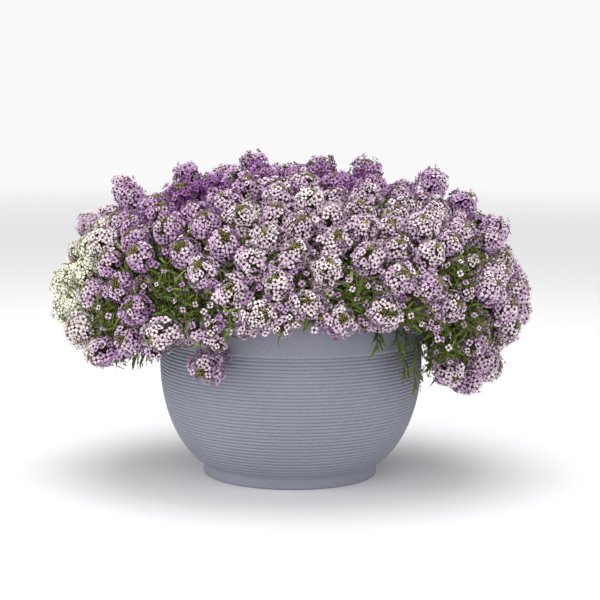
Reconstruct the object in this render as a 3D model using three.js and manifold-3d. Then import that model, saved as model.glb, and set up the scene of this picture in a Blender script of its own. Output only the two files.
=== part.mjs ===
// Sweet alyssum growing over a ribbed bowl. Millimetres, +Z up; the origin is the middle of the
// bowl's foot, on the ground, and -Y is the front.
import * as THREE from "three";
import { mergeVertices } from "three/addons/utils/BufferGeometryUtils.js";
import Module from "manifold-3d";

const wasm = await Module();
wasm.setup();

// ---- Driving dimensions -------------------------------------------------------------------

const CLEARANCE = 0.3; // between pieces that touch

const BOWL = {
  sides: 22,
  wall: 4,
  floor: 6,
  footRadius: 84.5,
  footHeight: 9.6,
  bulgeRadius: 127, // the widest part of the ribbed side
  bulgeHeight: 110,
  bulgeReach: 67.5, // the side is a quarter ellipse of this reach and rise
  bulgeRise: 108,
  ribs: 16,
  ribDepth: 1.2,
  collarFoot: 131,
  collarRadius: 127.8,
  rimHeight: 166,
  drainHoles: 5,
  drainRadius: 5,
  drainCircle: 52,
};
const INNER_LEVELS = [14, 44, 84, 130]; // where the bowl's inner wall bends
const SOIL = { top: 148, crumb: 2, holeDepth: 20 };

// The mound that the flower heads lie on: half an ellipsoid over the bowl, and under its widest
// level a second one, whose sides droop past the rim.
const MOUND = { halfWidth: 214, front: 165, back: 180, middle: 178, top: 283, droop: 130 };
// The lowest heads, every 30 degrees round from the left side at -180 through the front at -90.
const LOWEST = [128, 122, 146, 172, 172, 104, 94, 106, 135, 150, 142, 130];

const HEAD = {
  radius: 14,
  spread: 1.2, // head to head difference in radius
  share: 1155, // mound surface for each head, in square millimetres
  spacing: 32,
  unevenness: 7,
  lean: 0.8, // how strongly heads turn up from square to the mound
};
// Tall or hanging heads that stand out of the mound: their places and how stretched they are.
const LEADERS = [
  [-157, -12, 270, 1.55],
  [-194, 0, 238, 1.1],
  [-102, 14, 284, 1.1],
  [-37, 22, 293, 1.2],
  [27, 8, 292, 1.1],
  [71, 26, 289, 1.15],
  [134, 10, 281, 1.15],
  [163, 10, 261, 1.1],
  [194, 0, 237, 1.1],
  [-75, -131, 124, 1],
];
const SPRAYS = 48;
// Where the stalks of a spray meet: how deep under its heads, in line with a middle that is this
// share as far out; low ones meet outside the rim, and those close to it pass above it.
const MEETING = { depth: 52, inward: 0.4, middle: 172, outside: 14, close: 44, above: 18 };

// Each plant's place in the canopy, as seen from above, and its flowers' colour.
const PLANTS = [
  { name: "purple", x: -12, y: 18, reach: 25, colour: 0x9a5cae },
  { name: "white", x: -214, y: -14, reach: -20, colour: 0xe9e6d6 },
  { name: "lilac", x: -132, y: -84, reach: 0, colour: 0xb07fc6 },
  { name: "rose", x: -44, y: -112, reach: 0, colour: 0xd9bcd9 },
  { name: "pale", x: 58, y: -112, reach: 0, colour: 0xdcc4de },
  { name: "mallow", x: 140, y: -52, reach: 0, colour: 0xcda9d6 },
  { name: "violet", x: 138, y: 62, reach: 0, colour: 0xc29bd0 },
  { name: "heather", x: 12, y: 128, reach: 0, colour: 0xb78ac6 },
  { name: "mauve", x: -116, y: 92, reach: 0, colour: 0xb98fc9 },
];
const CROWN = { reach: 0.5, radius: 3.6, height: 162 };
const STALK = { hub: 5, root: 9, sunk: 3, neck: 1.2 }; // the piece that the stalks of a spray meet in
const STEM = { base: 2.1, tip: 1.5, shoot: 1.4, shootTip: 0.9, square: 0.65 };
// How stems pass the rim: this far inside it, outside it and above it.
const RIM_PASS = { inside: 12, outside: 6, above: 8, clear: 30, shortest: 12 };
const LEAF = { length: 26, width: 5.2, thickness: 1.4, rise: 0.75, room: 2.2 };
// Leafy shoots end this deep under the mound; their tips are tried all over it.
const SHOOT = { leaves: 4, perPlant: 3, leafStep: 0.045, depth: 12, share: 500 };

const GOLDEN_TURN = Math.PI * (3 - Math.sqrt(5));
const UP = new THREE.Vector3(0, 0, 1);

// ---- Small tools --------------------------------------------------------------------------

// A repeatable number from 0 to 1 for each index and use.
function chance(index, use) {
  const value = Math.sin(index * 12.9898 + use * 78.233) * 43758.5453;
  return value - Math.floor(value);
}

function solidFrom(geometry) {
  const bare = geometry.index ? geometry.toNonIndexed() : geometry.clone();
  bare.deleteAttribute("normal");
  bare.deleteAttribute("uv");
  const merged = mergeVertices(bare, 1e-4);
  return new wasm.Manifold(
    new wasm.Mesh({
      numProp: 3,
      vertProperties: merged.attributes.position.array,
      triVerts: new Uint32Array(merged.index.array),
    }),
  );
}

function geometryFrom(solid) {
  const mesh = solid.getMesh();
  const geometry = new THREE.BufferGeometry();
  geometry.setAttribute("position", new THREE.BufferAttribute(mesh.vertProperties, 3));
  geometry.setIndex(new THREE.BufferAttribute(mesh.triVerts, 1));
  return geometry;
}

// A geometry from triangles, each a list of three points.
function geometryOf(triangles) {
  const places = triangles.flat().flatMap((point) => point.toArray());
  const geometry = new THREE.BufferGeometry();
  geometry.setAttribute("position", new THREE.Float32BufferAttribute(places, 3));
  return geometry;
}

// A turned shape standing on +Z, from [radius, height] pairs that run up its outside.
function turned(profile, sides) {
  const points = profile.map(([radius, height]) => new THREE.Vector2(radius, height));
  return new THREE.LatheGeometry(points, sides).rotateX(Math.PI / 2);
}

// Two unit vectors square to a direction and to each other.
function across(direction) {
  const aside = Math.abs(direction.z) < 0.9 ? UP : new THREE.Vector3(1, 0, 0);
  const right = new THREE.Vector3().crossVectors(aside, direction).normalize();
  return [right, new THREE.Vector3().crossVectors(direction, right)];
}

// Points round a centre, square to a direction, anticlockwise seen from its tip and starting at
// the side given.
function ring(centre, direction, radius, count, side) {
  const right = side.clone().addScaledVector(direction, -side.dot(direction)).normalize();
  const over = new THREE.Vector3().crossVectors(direction, right);
  return Array.from({ length: count }, (_, i) => {
    const angle = (i * 2 * Math.PI) / count;
    return centre
      .clone()
      .addScaledVector(right, radius * Math.cos(angle))
      .addScaledVector(over, radius * Math.sin(angle));
  });
}

// ---- The bowl and its soil ----------------------------------------------------------------

function sideRadius(height) {
  const level = (BOWL.bulgeHeight - height) / BOWL.bulgeRise;
  return BOWL.bulgeRadius - BOWL.bulgeReach * (1 - Math.sqrt(1 - level * level));
}

function innerRadius(height) {
  return sideRadius(Math.max(height, BOWL.footHeight)) - BOWL.wall;
}

function bowlProfile() {
  const { footRadius, footHeight, ribs, ribDepth, collarFoot, collarRadius, rimHeight } = BOWL;
  const points = [
    [0, 0],
    [26, 0],
    [29, 2.5],
    [footRadius - 14, 2.5],
    [footRadius - 11, 0],
    [footRadius, 0],
    [footRadius, footHeight],
  ];
  const pitch = (collarFoot - footHeight) / ribs;
  for (let i = 0; i < ribs; i += 1) {
    const crest = footHeight + (i + 0.6) * pitch;
    const groove = footHeight + (i + 1) * pitch;
    points.push([sideRadius(crest), crest]);
    points.push([sideRadius(groove) - ribDepth, groove]);
  }
  points.push(
    [collarRadius, collarFoot + 1.5],
    [collarRadius - 0.6, rimHeight - 4],
    [collarRadius - 2.2, rimHeight],
    [innerRadius(collarFoot) + 1.2, rimHeight],
    [innerRadius(collarFoot), rimHeight - 3],
    ...INNER_LEVELS.toReversed().map((height) => [innerRadius(height), height]),
    [footRadius - 12, BOWL.floor],
    [0, BOWL.floor],
  );
  return points;
}

function drainHole(index) {
  const angle = ((index + 0.5) * 2 * Math.PI) / BOWL.drainHoles;
  const hole = new THREE.CylinderGeometry(BOWL.drainRadius, BOWL.drainRadius, 20, 8);
  hole.rotateX(Math.PI / 2);
  hole.translate(BOWL.drainCircle * Math.cos(angle), BOWL.drainCircle * Math.sin(angle), 0);
  return solidFrom(hole);
}

function bowl() {
  let solid = solidFrom(turned(bowlProfile(), BOWL.sides));
  for (let i = 0; i < BOWL.drainHoles; i += 1) {
    solid = solid.subtract(drainHole(i));
  }
  return geometryFrom(solid);
}

function crownPlace(plant) {
  return new THREE.Vector3(plant.x * CROWN.reach, plant.y * CROWN.reach, SOIL.top);
}

// A six-sided upright post from one height to another.
function post(place, radius, from, to) {
  const shape = new THREE.CylinderGeometry(radius, radius, to - from, 6).rotateX(Math.PI / 2);
  return solidFrom(shape.translate(place.x, place.y, (from + to) / 2));
}

function soil() {
  const inside = (height) => [innerRadius(height) - CLEARANCE, height];
  const profile = [
    [0, BOWL.floor + CLEARANCE],
    [BOWL.footRadius - 12.5, BOWL.floor + CLEARANCE],
    ...INNER_LEVELS.map(inside),
    inside(SOIL.top - 5),
    [113, SOIL.top],
    ...[76, 36].map((radius) => [radius, SOIL.top]),
    [0, SOIL.top],
  ];
  const shape = turned(profile, BOWL.sides);
  const places = shape.attributes.position;
  for (let i = 0; i < places.count; i += 1) {
    const x = places.getX(i);
    const y = places.getY(i);
    const lump = Math.sin(x * 0.13 + 1) * Math.cos(y * 0.11) + Math.sin(x * 0.05 - y * 0.24);
    if (places.getZ(i) > SOIL.top - 1) {
      places.setZ(i, SOIL.top + SOIL.crumb * lump);
    }
  }
  let solid = solidFrom(shape);
  for (const plant of PLANTS) {
    const from = SOIL.top - SOIL.holeDepth;
    solid = solid.subtract(post(crownPlace(plant), CROWN.radius + CLEARANCE, from, SOIL.top + 20));
  }
  return geometryFrom(solid);
}

// ---- Where the flower heads are -----------------------------------------------------------

function lowestAt(azimuth) {
  const place = (azimuth / Math.PI + 1) * 6;
  const from = Math.floor(place);
  const ease = (1 - Math.cos((place - from) * Math.PI)) / 2;
  const here = LOWEST[(from + 12) % 12];
  const next = LOWEST[(from + 13) % 12];
  return here + (next - here) * ease;
}

function moundRise(height) {
  return height > MOUND.middle ? MOUND.top - MOUND.middle : MOUND.droop;
}

function moundDepth(y) {
  return y < 0 ? MOUND.front : MOUND.back;
}

// A point in the mound's own measure, where its surface is the unit sphere.
function toUnit(point) {
  return new THREE.Vector3(
    point.x / MOUND.halfWidth,
    point.y / moundDepth(point.y),
    (point.z - MOUND.middle) / moundRise(point.z),
  );
}

function fromUnit(unit) {
  const rise = unit.z > 0 ? MOUND.top - MOUND.middle : MOUND.droop;
  return new THREE.Vector3(
    unit.x * MOUND.halfWidth,
    unit.y * moundDepth(unit.y),
    MOUND.middle + unit.z * rise,
  );
}

function unitAt(azimuth, tilt) {
  const out = Math.sin(tilt);
  return new THREE.Vector3(out * Math.cos(azimuth), out * Math.sin(azimuth), Math.cos(tilt));
}

function azimuthOf(point) {
  const unit = toUnit(point);
  return Math.atan2(unit.y, unit.x);
}

// The nearest place on the mound, no lower than its flowers go there.
function onMound(point) {
  const unit = toUnit(point).normalize();
  const azimuth = Math.atan2(unit.y, unit.x);
  const lowest = (lowestAt(azimuth) - MOUND.middle) / moundRise(lowestAt(azimuth));
  const tilt = Math.acos(Math.max(unit.z, lowest));
  return fromUnit(unitAt(azimuth, tilt));
}

function outwardAt(point) {
  const unit = toUnit(point);
  return new THREE.Vector3(
    unit.x / MOUND.halfWidth,
    unit.y / moundDepth(point.y),
    unit.z / moundRise(point.z),
  ).normalize();
}

// Golden-angle places over the mound, with the same surface for each.
function moundPlaces(share) {
  const width = (MOUND.halfWidth * 2 + MOUND.front + MOUND.back) / 4;
  const places = [];
  const step = Math.PI / 720;
  let covered = 0;
  for (let tilt = 0; tilt < 0.75 * Math.PI; tilt += step) {
    const rise = moundRise(MOUND.middle + Math.cos(tilt));
    const slope = Math.hypot(width * Math.cos(tilt), rise * Math.sin(tilt));
    const crowding = 1 + 0.45 * Math.max(Math.cos(tilt), 0);
    covered += 2 * Math.PI * width * Math.sin(tilt) * slope * step * crowding;
    while (covered > (places.length + 0.5) * share) {
      places.push(fromUnit(unitAt(places.length * GOLDEN_TURN - Math.PI, tilt)));
    }
  }
  return places.filter((place) => place.z > lowestAt(azimuthOf(place)) - 6);
}

// Pushes neighbours apart until they are about evenly spaced. The first few stay where they are.
function spreadOut(places, fixed, spacing, rounds) {
  let now = places;
  for (let round = 0; round < rounds; round += 1) {
    now = now.map((place, i) => {
      if (i < fixed) {
        return place;
      }
      const moved = place.clone();
      now.forEach((other, j) => {
        const gap = place.distanceTo(other);
        if (j !== i && gap < spacing) {
          moved.addScaledVector(place.clone().sub(other), (0.35 * (spacing - gap)) / gap);
        }
      });
      return onMound(moved);
    });
  }
  return now;
}

function layHeads() {
  const leaders = LEADERS.map(([x, y, z]) => onMound(new THREE.Vector3(x, y, z)));
  const clearOfLeaders = (place) =>
    leaders.every((leader) => leader.distanceTo(place) > 0.8 * HEAD.spacing);
  const others = moundPlaces(HEAD.share).filter(clearOfLeaders);
  const places = spreadOut([...leaders, ...others], leaders.length, HEAD.spacing, 60);
  const heads = places.map((place, i) => {
    const outward = outwardAt(place);
    const at = place.clone();
    if (i < leaders.length) {
      at.set(...LEADERS[i].slice(0, 3));
    } else {
      at.addScaledVector(outward, HEAD.unevenness * (2 * chance(i, 1) - 1));
    }
    const axis = outward.addScaledVector(UP, HEAD.lean).normalize();
    const stretch = i < leaders.length ? LEADERS[i][3] : 1 + 0.12 * chance(i, 3);
    return { index: i, at, axis, stretch };
  });
  for (const head of heads) {
    const gaps = heads.filter((other) => other !== head).map((other) => other.at.distanceTo(head.at));
    const wanted = HEAD.radius + HEAD.spread * (2 * chance(head.index, 2) - 1);
    head.radius = Math.min(wanted, (Math.min(...gaps) - 2 * CLEARANCE) / 2 / 1.08);
  }
  return heads;
}

// ---- Sprays: neighbouring heads whose stalks meet -----------------------------------------

function nearest(places, point) {
  const gaps = places.map((place) => place.distanceTo(point));
  return gaps.indexOf(Math.min(...gaps));
}

function meanOf(points) {
  const sum = points.reduce((total, point) => total.add(point), new THREE.Vector3());
  return sum.divideScalar(points.length);
}

function gather(heads) {
  let centres = Array.from({ length: SPRAYS }, (_, i) =>
    heads[Math.floor(((i + 0.5) * heads.length) / SPRAYS)].at.clone(),
  );
  let groups = [];
  for (let round = 0; round < 15; round += 1) {
    groups = centres.map(() => []);
    heads.forEach((head) => groups[nearest(centres, head.at)].push(head));
    centres = groups.map((group) => meanOf(group.map((head) => head.at)));
  }
  return groups;
}

// Where a spray's stalks meet: in from its heads towards the plant's middle, clear of the bowl.
function meetingPlace(group) {
  const centre = meanOf(group.map((head) => head.at));
  const { depth, inward, outside, close, above } = MEETING;
  const middle = new THREE.Vector3(inward * centre.x, inward * centre.y, MEETING.middle);
  const place = middle.sub(centre).setLength(depth).add(centre);
  const out = Math.hypot(place.x, place.y);
  if (place.z < BOWL.rimHeight + outside && out < BOWL.collarRadius + outside) {
    const passesAbove = Math.hypot(centre.x, centre.y) < BOWL.collarRadius + close;
    const wanted = BOWL.collarRadius + (passesAbove ? 0 : outside);
    place.x *= wanted / out;
    place.y *= wanted / out;
    place.z = passesAbove ? BOWL.rimHeight + above : place.z;
  }
  return place;
}

// A head of five big florets, each with four raised petal tips round its eye and a notch between
// the upper two. Its underside narrows into its stalk, sunk into the place where stalks meet.
function headSolid(head, meeting) {
  const [right, over] = across(head.axis);
  const twist = head.index * GOLDEN_TURN;
  const point = (polar, turn, reach) => {
    const angle = twist + (turn * Math.PI) / 4;
    const out = reach * head.radius * Math.sin(polar);
    return head.at
      .clone()
      .addScaledVector(head.axis, reach * head.radius * head.stretch * Math.cos(polar))
      .addScaledVector(right, out * Math.cos(angle))
      .addScaledVector(over, out * Math.sin(angle));
  };
  const four = [0, 1, 2, 3];
  const upper = four.map((k) => point(0.95, 2 * k, 1.08));
  const lower = four.map((k) => point(2.05, 2 * k + 1, 1.08));
  const topNotch = four.map((k) => point(0.8, 2 * k + 1, 0.84));
  const triangles = [];
  const fan = (middle, outline) => {
    outline.forEach((place, i) => triangles.push([middle, place, outline[(i + 1) % outline.length]]));
  };
  fan(point(0, 0, 0.88), four.flatMap((k) => [upper[k], topNotch[k]]));
  for (const k of four) {
    const next = (k + 1) % 4;
    fan(point(1.5, 2 * k + 1.5, 0.86), [lower[k], lower[next], upper[next], topNotch[k], upper[k]]);
  }
  const sunk = meeting.clone().sub(head.at).setLength(STALK.sunk).add(meeting);
  fan(sunk, lower.toReversed());
  return solidFrom(geometryOf(triangles));
}

// A small double pyramid from a root to a tip, widest round its middle.
function doublePyramid(root, middle, tip, radius, sides) {
  const direction = tip.clone().sub(root).normalize();
  const edge = ring(middle, direction, radius, sides, across(direction)[0]);
  const triangles = edge.flatMap((place, i) => {
    const next = edge[(i + 1) % sides];
    return [
      [tip, place, next],
      [root, next, place],
    ];
  });
  return solidFrom(geometryOf(triangles));
}

function spraySolid({ group, meeting, axis, root }) {
  const tip = meeting.clone().addScaledVector(axis, STALK.hub);
  let solid = doublePyramid(root, meeting, tip, STALK.hub, 3);
  for (const head of group) {
    solid = solid.add(headSolid(head, meeting));
  }
  return solid;
}

// ---- Leafy stems --------------------------------------------------------------------------

// The way of a stem from a plant's crown to where it ends: up inside the rim, or over the rim.
function stemWay(crown, end, axis) {
  const start = crown.clone().setZ(SOIL.top + 4);
  const out = Math.hypot(end.x, end.y);
  if (out < BOWL.collarRadius || end.z > BOWL.rimHeight + RIM_PASS.clear) {
    const straight = end.clone().addScaledVector(axis, -0.5 * start.distanceTo(end));
    return [start, start.clone().lerp(end, 0.5).lerp(straight, 0.5), end];
  }
  const atRim = (radius, height) =>
    new THREE.Vector3((end.x / out) * radius, (end.y / out) * radius, height);
  const low = BOWL.rimHeight + RIM_PASS.above;
  const top = Math.max(low, low + 0.3 * (end.z - low));
  const overRim = atRim(BOWL.collarRadius + RIM_PASS.outside, top - 1);
  const way = [start, atRim(BOWL.collarRadius - RIM_PASS.inside, top), overRim, end];
  return way.filter((place) => place === end || place.distanceTo(end) > RIM_PASS.shortest);
}

// A three-sided stem along a way, tapering to an end that is cut square to a direction.
function stemSolid(way, facing, base, tip) {
  const side = across(way.at(-1).clone().sub(way[0]).normalize())[0];
  const rings = way.map((place, i) => {
    const ahead = way[Math.min(i + 1, way.length - 1)];
    const behind = way[Math.max(i - 1, 0)];
    const last = i === way.length - 1;
    const along = ahead.clone().sub(behind).normalize();
    const direction = last ? along.lerp(facing, STEM.square).normalize() : along;
    return ring(place, direction, base + ((tip - base) * i) / (way.length - 1), 3, side);
  });
  const triangles = [rings[0].toReversed(), rings.at(-1)];
  rings.slice(1).forEach((upper, i) => {
    const lower = rings[i];
    for (let k = 0; k < 3; k += 1) {
      const next = (k + 1) % 3;
      triangles.push([lower[k], lower[next], upper[next]], [lower[k], upper[next], upper[k]]);
    }
  });
  return solidFrom(geometryOf(triangles));
}

// A narrow pointed leaf from its sunk root to its tip, with a keel under it.
function leafSolid(root, tip, facing) {
  const along = tip.clone().sub(root).normalize();
  const side = new THREE.Vector3().crossVectors(along, facing).normalize();
  const rise = new THREE.Vector3().crossVectors(side, along).multiplyScalar(LEAF.thickness);
  const middle = root.clone().lerp(tip, 0.45).add(rise);
  const left = middle.clone().addScaledVector(side, -LEAF.width / 2);
  const right = middle.clone().addScaledVector(side, LEAF.width / 2);
  return solidFrom(
    geometryOf([
      [root, right, left],
      [tip, left, right],
      [root, tip, right],
      [tip, root, left],
    ]),
  );
}

function gapToLine(point, from, to) {
  const nearestOn = new THREE.Line3(from, to).closestPointToPoint(point, true, new THREE.Vector3());
  const share = nearestOn.distanceTo(from) / from.distanceTo(to);
  return [nearestOn.distanceTo(point), share];
}

// Whether a place has room round it, free of flowers, stalks, other plants' stems and the bowl.
function isClear(point, room, plant) {
  const out = Math.hypot(point.x, point.y);
  const nearBowl = Math.abs(out - BOWL.collarRadius + BOWL.wall / 2) < room + BOWL.wall;
  if (point.z < SOIL.top + SOIL.crumb + room || (point.z < BOWL.rimHeight + room && nearBowl)) {
    return false;
  }
  const clearOfSpray = ({ group, meeting, root, end, way, owner }) => {
    const clearOfHeads = group.every((head) => {
      const [gap, share] = gapToLine(point, meeting, head.at);
      const inBall = head.at.distanceTo(point) < 1.1 * head.radius * head.stretch + room;
      return !inBall && gap > STALK.neck + 0.96 * head.radius * share + room;
    });
    const clearOfHub = gapToLine(point, root, meeting)[0] > STALK.hub + room;
    const clearOfStem =
      owner === plant ||
      way.slice(1).every((to, i) => gapToLine(point, way[i], to)[0] > STEM.base + room);
    return clearOfHeads && clearOfHub && clearOfStem && end.distanceTo(point) > room;
  };
  return sprays.every(clearOfSpray);
}

// Leafy shoots that reach up between the heads: where each leaves a stem, and its tip.
function shootsOf(plant) {
  const own = sprays.filter((one) => one.owner === plant);
  const shoots = [];
  for (const tip of shootTips.filter((one) => ownerOf(one) === plant)) {
    const starts = own.flatMap(({ way }) => way.slice(1).map((to, i) => way[i].clone().lerp(to, 0.6)));
    const start = starts[nearest(starts, tip)];
    const steps = Array.from({ length: 12 }, (_, i) => start.clone().lerp(tip, (i + 1) / 12));
    if (steps.slice(1).every((place) => isClear(place, 1.6, plant))) {
      shoots.push([start, tip]);
    }
  }
  return shoots.slice(0, SHOOT.perPlant);
}

// The leaves near a shoot's tip, turned round it by the golden angle, where there is room.
function leavesOf(shoot, index, plant) {
  const [start, tip] = shoot;
  const direction = tip.clone().sub(start).normalize();
  const leaves = [];
  for (let k = 0; k < 3 * SHOOT.leaves && leaves.length < SHOOT.leaves; k += 1) {
    const root = start.clone().lerp(tip, 0.97 - SHOOT.leafStep * k);
    const [right, over] = across(direction);
    const turn = k * GOLDEN_TURN + index;
    const around = right.multiplyScalar(Math.cos(turn)).addScaledVector(over, Math.sin(turn));
    const way = around.addScaledVector(direction, LEAF.rise).normalize();
    const steps = [0.25, 0.5, 0.75, 1].map((share) =>
      root.clone().addScaledVector(way, LEAF.length * share),
    );
    if (steps.every((place) => isClear(place, LEAF.room, plant))) {
      leaves.push(leafSolid(root, steps.at(-1), direction));
    }
  }
  return leaves;
}

// ---- The whole plant ----------------------------------------------------------------------

function mesh(name, geometry, colour, roughness) {
  const material = new THREE.MeshStandardMaterial({ color: colour, roughness, metalness: 0 });
  const made = new THREE.Mesh(geometry, material);
  made.name = name;
  return made;
}

// The plant whose part of the canopy a place is in.
function ownerOf(place) {
  const gaps = PLANTS.map(({ x, y, reach }) => Math.hypot(place.x - x, place.y - y) - reach);
  return PLANTS[gaps.indexOf(Math.min(...gaps))];
}

const sprays = gather(layHeads()).map((group) => {
  const meeting = meetingPlace(group);
  for (const head of group) {
    head.axis.add(head.at.clone().sub(meeting).normalize()).normalize();
  }
  const centre = meanOf(group.map((head) => head.at));
  const axis = centre.clone().sub(meeting).normalize();
  const root = meeting.clone().addScaledVector(axis, -STALK.root);
  const end = root.clone().addScaledVector(axis, -CLEARANCE);
  const owner = ownerOf(centre);
  return { group, meeting, axis, root, end, owner, way: stemWay(crownPlace(owner), end, axis) };
});
const shootTips = moundPlaces(SHOOT.share)
  .map((place) => place.addScaledVector(outwardAt(place), -SHOOT.depth))
  .filter((place) => isClear(place, 3, null));

const alyssum = new THREE.Group();
alyssum.add(mesh("pot", bowl(), 0x9496a4, 0.75));
alyssum.add(mesh("soil", soil(), 0x3a2c22, 0.95));
for (const plant of PLANTS) {
  const own = sprays.filter((one) => one.owner === plant);
  own.forEach((one, i) => {
    alyssum.add(mesh(`${plant.name}_spray_${i + 1}`, geometryFrom(spraySolid(one)), plant.colour, 0.6));
  });
  const from = SOIL.top - SOIL.holeDepth + CLEARANCE;
  let stems = post(crownPlace(plant), CROWN.radius, from, CROWN.height);
  for (const { way, axis } of own) {
    stems = stems.add(stemSolid(way, axis, STEM.base, STEM.tip));
  }
  shootsOf(plant).forEach((shoot, i) => {
    const direction = shoot[1].clone().sub(shoot[0]).normalize();
    stems = stems.add(stemSolid(shoot, direction, STEM.shoot, STEM.shootTip));
    for (const leaf of leavesOf(shoot, i, plant)) {
      stems = stems.add(leaf);
    }
  });
  alyssum.add(mesh(`${plant.name}_stems`, geometryFrom(stems), 0x5f7a3c, 0.7));
}

export default alyssum;
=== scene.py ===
import math
from collections import namedtuple

import bpy
import numpy as np
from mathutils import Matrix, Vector


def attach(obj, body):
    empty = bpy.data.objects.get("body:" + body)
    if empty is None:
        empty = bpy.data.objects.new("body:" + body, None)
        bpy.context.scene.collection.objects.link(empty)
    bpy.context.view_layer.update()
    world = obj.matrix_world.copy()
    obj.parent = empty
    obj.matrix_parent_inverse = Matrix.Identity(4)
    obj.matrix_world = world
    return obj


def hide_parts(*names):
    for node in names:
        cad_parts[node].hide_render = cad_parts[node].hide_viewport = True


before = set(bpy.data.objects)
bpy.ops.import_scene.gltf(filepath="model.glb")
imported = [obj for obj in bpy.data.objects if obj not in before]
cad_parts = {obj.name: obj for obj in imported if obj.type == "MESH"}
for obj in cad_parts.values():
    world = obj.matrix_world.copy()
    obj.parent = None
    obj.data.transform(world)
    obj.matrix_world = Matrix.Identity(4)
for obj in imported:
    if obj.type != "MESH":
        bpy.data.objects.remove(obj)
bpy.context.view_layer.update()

# Sweet alyssum over a ribbed bowl. Lengths are in millimetres until a mesh is made.

MM = 0.001
GOLDEN_TURN = math.pi * (3 - math.sqrt(5))
UP = np.array([0.0, 0.0, 1.0])

# ---- The bowl's sizes ----

FOOT_RADIUS, FOOT_HEIGHT, FLOOR, WALL = 84.5, 9.6, 6.0, 4.0
BULGE_RADIUS, BULGE_HEIGHT, BULGE_REACH, BULGE_RISE = 127.0, 110.0, 67.5, 108.0
COLLAR_FOOT, COLLAR_RADIUS, RIM_HEIGHT = 131.0, 127.8, 166.0
RIB_FOOT, RIB_PITCH, RIB_COUNT, GROOVE_DEPTH = 14.0, 3.345, 35, 1.15
DRAIN_HOLES, DRAIN_RADIUS, DRAIN_CIRCLE = 5, 5.0, 52.0  # their middles lie on the circle
INNER_LEVELS = [14.0, 44.0, 84.0, 130.0]
SOIL_TOP, CLEARANCE = 148.0, 0.3
BOWL_SIDES, DRAIN_SIDES, SOIL_SIDES, SOIL_RINGS = 120, 24, 90, 40

# ---- The mound that the heads lie on ----

HALF_WIDTH, FRONT, BACK, MIDDLE, RISE, DROOP = 214.0, 165.0, 180.0, 178.0, 105.0, 130.0
# The lowest heads every 30 degrees round, from the left side through the front.
LOWEST = np.array([128, 122, 146, 172, 172, 104, 94, 106, 135, 150, 142, 130.0])
HEAD_RADIUS, HEAD_SPREAD, HEAD_SHARE, HEAD_SPACING = 14.0, 1.2, 1155.0, 32.0
UNEVENNESS, LEAN = 7.0, 0.8
# Tall or hanging heads that stand out of the mound: their places and how stretched they are.
LEADERS = np.array([
    [-157, -12, 270, 1.55],
    [-194, 0, 238, 1.1],
    [-102, 14, 284, 1.1],
    [-37, 22, 293, 1.2],
    [27, 8, 292, 1.1],
    [71, 26, 289, 1.15],
    [134, 10, 281, 1.15],
    [163, 10, 261, 1.1],
    [194, 0, 237, 1.1],
    [-75, -131, 124, 1.0],
])
SPRAYS = 48
CROWN_REACH = 0.5
# Where the stalks of a spray meet: how deep under its heads, the share of their place and the
# height that it lies towards, and its room outside the collar, or above the rim for heads that
# are close to it.
MEETING_DEPTH, MEETING_INWARD, MEETING_MIDDLE = 52, 0.4, 172
MEETING_OUTSIDE, MEETING_CLOSE, MEETING_ABOVE = 14, 44, 18
# Where a stem passes the rim: in from the collar, out from it and above the rim. One that ends
# clear of the rim goes straight, and the points along its way aren't nearer to its end than this.
PASS_INSIDE, PASS_OUTSIDE, PASS_ABOVE, PASS_CLEAR, PASS_SHORTEST = 12, 6, 8, 30, 12

# Each plant's name, its place in the canopy seen from above, its flowers' material slot, the
# palest and deepest shade of its florets, from 0 to 1, the share of a head's florets that trail
# down its stalk, and the share of the gaps between its heads that loose florets fill.
Plant = namedtuple("Plant", "name x y reach slot pale deep trail fill")
PLANTS = [
    Plant("purple", -12, 18, 25, "purple_flowers", 0.1, 0.85, 0.38, 0.9),
    Plant("white", -214, -14, -20, "white_flowers", 0.0, 0.5, 0.2, 0.3),
    Plant("lilac", -132, -84, 0, "lilac_flowers", 0.32, 0.85, 0.1, 0.05),
    Plant("rose", -44, -112, 0, "pink_white_flowers", 0.05, 0.9, 0.48, 0.9),
    Plant("pale", 58, -112, 0, "pink_white_flowers", 0.05, 0.85, 0.46, 0.8),
    Plant("mallow", 140, -52, 0, "pale_lilac_flowers", 0.1, 0.8, 0.2, 0.12),
    Plant("violet", 138, 62, 0, "pale_lilac_flowers", 0.2, 0.85, 0.24, 0.4),
    Plant("heather", 12, 128, 0, "pale_lilac_flowers", 0.2, 0.85, 0.24, 0.6),
    Plant("mauve", -116, 92, 0, "lilac_flowers", 0.15, 0.75, 0.24, 0.6),
]

# Patches of the canopy with deeper or paler flowers: place, reach and change of shade.
Patch = namedtuple("Patch", "x y z reach change")
PATCHES = [
    Patch(-78, -45, 264, 38, 0.5),
    Patch(54, 5, 278, 34, 0.5),
    Patch(-165, -10, 250, 50, 0.05),
    Patch(10, -120, 225, 80, -0.1),
    Patch(-196, -60, 155, 32, -1.0),
    Patch(-212, 20, 150, 26, -1.0),
    Patch(-178, -60, 223, 22, -0.9),
    Patch(-196, 0, 240, 22, 0.7),
    Patch(-222, -8, 208, 22, 0.6),
]

# Heads that have shed most of their florets: green stalks and pods, with leaves grown through.
# A head this near to one of the places is one of them. Young heads and loose florets, and
# florets that trail, keep so far off, and leaves nearer than the last are longer.
GONE_OVER_REACH, OPEN_REACH, TRAIL_REACH, LONG_LEAF_REACH, LONG_LEAF = 8, 18, 15, 20, 1.5
GONE_OVER = np.array([
    [-112, -130, 199],
    [59, -154, 198],
    [110, -137, 172],
    [150, -104, 207],
    [166, -102, 161],
    [142, -102, 135],
    [169, -73, 216],
    [-92, -144, 182],
    [-167, -97, 164],
])

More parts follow.
